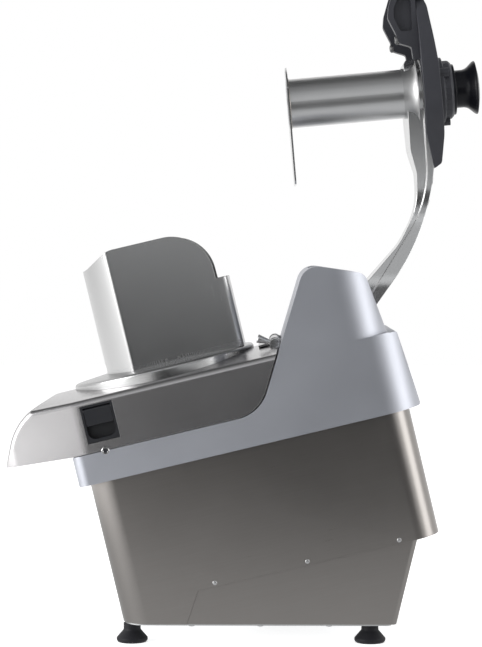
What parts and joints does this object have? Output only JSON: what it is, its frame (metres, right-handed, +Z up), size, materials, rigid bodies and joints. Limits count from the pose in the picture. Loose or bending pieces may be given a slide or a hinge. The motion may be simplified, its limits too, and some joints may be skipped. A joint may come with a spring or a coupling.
{
  "type": "vegetable cutting machine",
  "caption": "Table-top vegetable cutting machine: inclined steel casing on feet, cast body, hinged cover with feed hopper, cutting disc, and a swinging pusher lever with a feed tube and pestle",
  "frame": {"origin": "centre of the bounding box at the level of the feet's undersides", "axes": "+X to the side of the catch seen in the picture, +Y to the rear, +Z up"},
  "size_m": [0.2532, 0.5564, 0.8142],
  "materials": {
    "casing_steel": "brushed stainless sheet, warm dark grey",
    "cover_steel": "brushed stainless sheet",
    "lever_steel": "satin stainless pressing",
    "cast_aluminium": "satin blasted casting",
    "plated_steel": "zinc plated",
    "polished_steel": "ground and polished",
    "disc_aluminium": "turned aluminium",
    "bronze": "sintered bronze",
    "foot_rubber": "moulded rubber",
    "black_plastic": "fine moulded texture",
    "pestle_plastic": "smooth moulded",
    "white_plastic": "food grade plastic",
    "motor_paint": "paint",
    "green_plastic": "moulded button",
    "red_plastic": "moulded button"
  },
  "bodies": {
    "root": {"motor_casing": "casing_steel", "stand_shell": "casing_steel", "body_casting": "cast_aluminium", "bearing_housing": "cast_aluminium", "motor_end_bells": "cast_aluminium", "base_plate": "plated_steel", "motor_plate": "plated_steel", "foot_bolts": "plated_steel", "gland_nut": "plated_steel", "seam_rivets": "plated_steel", "hinge_bracket": "plated_steel", "run_capacitor": "plated_steel", "side_pins": "polished_steel", "hinge_pin": "polished_steel", "pivot_shaft": "polished_steel", "retaining_rings": "polished_steel", "shaft_bearings": "polished_steel", "foot_front_left": "foot_rubber", "foot_front_right": "foot_rubber", "foot_rear_left": "foot_rubber", "foot_rear_right": "foot_rubber", "lever_stop_buffers": "foot_rubber", "shaft_seal": "foot_rubber", "drive_belt": "foot_rubber", "control_box": "black_plastic", "safety_switch": "black_plastic", "cable_gland": "black_plastic", "button_bezel": "black_plastic", "motor_housing": "motor_paint"},
    "lever": {"lever_arm": "lever_steel", "lever_hub": "lever_steel", "pivot_bushes": "bronze", "head_plate": "black_plastic", "handle_grip": "black_plastic", "handle_screws": "plated_steel", "feed_tube": "lever_steel", "pusher_plate": "lever_steel", "tube_collar": "black_plastic"},
    "cover": {"front_cover": "cover_steel", "hinge_strap": "cover_steel", "feed_hopper": "cover_steel", "catch_frame_left": "black_plastic", "catch_frame_right": "black_plastic", "catch_pins": "polished_steel", "catch_forks": "polished_steel"},
    "disc_drive": {"drive_shaft": "polished_steel", "drive_pulley": "disc_aluminium", "ejector_disc": "white_plastic", "cutting_disc": "disc_aluminium", "slicing_blades": "polished_steel", "disc_knob": "white_plastic"},
    "motor_rotor": {"motor_shaft": "polished_steel", "motor_pulley": "disc_aluminium", "cooling_fan": "black_plastic"},
    "pestle": {"pestle": "pestle_plastic"},
    "release": {"release_lever": "polished_steel"},
    "left_paddle": {"catch_paddle_left": "black_plastic"},
    "right_paddle": {"catch_paddle_right": "black_plastic"},
    "start": {"start_button": "green_plastic"},
    "stop": {"stop_button": "red_plastic"}
  },
  "joints": [
    {"name": "lever_pivot", "type": "hinge", "parent": "root", "child": "lever", "pos_m": [0, 0.1117, 0.40088], "axis": [-1, 0, 0], "range_deg": [-98.5, 0]},
    {"name": "pestle_slide", "type": "slide", "parent": "lever", "child": "pestle", "axis": [0, 0.9962, 0.0872], "range_m": [0, 0.12]},
    {"name": "cover_hinge", "type": "hinge", "parent": "root", "child": "cover", "pos_m": [0, 0.03699, 0.34798], "axis": [-1, 0, 0], "range_deg": [0, 48]},
    {"name": "release_hinge", "type": "hinge", "parent": "cover", "child": "release", "pos_m": [0.071, 0.03699, 0.34798], "axis": [-1, 0, 0], "range_deg": [0, 35]},
    {"name": "left_paddle_hinge", "type": "hinge", "parent": "cover", "child": "left_paddle", "pos_m": [-0.1228, -0.16864, 0.27496], "axis": [0, 0.9724, 0.2334], "range_deg": [0, 30], "stiffness_Nm_per_rad": 0.02},
    {"name": "right_paddle_hinge", "type": "hinge", "parent": "cover", "child": "right_paddle", "pos_m": [0.1228, -0.16864, 0.27496], "axis": [0, -0.9724, -0.2334], "range_deg": [0, 30], "stiffness_Nm_per_rad": 0.02},
    {"name": "disc_spin", "type": "hinge", "parent": "root", "child": "disc_drive", "pos_m": [0, -0.0793, 0.2455], "axis": [0, -0.2334, 0.9724], "continuous": true},
    {"name": "motor_spin", "type": "hinge", "parent": "root", "child": "motor_rotor", "pos_m": [0, 0.09262, 0.21479], "axis": [0, -0.2334, 0.9724], "continuous": true},
    {"name": "start_press", "type": "slide", "parent": "root", "child": "start", "axis": [0, 0.9724, 0.2334], "range_m": [0, 0.003], "stiffness_N_per_m": 400},
    {"name": "stop_press", "type": "slide", "parent": "root", "child": "stop", "axis": [0, 0.9724, 0.2334], "range_m": [0, 0.003], "stiffness_N_per_m": 400}
  ],
  "couplings": [
    {"joint": "motor_spin", "follows": "disc_spin", "ratio": 3.9474}
  ]
}
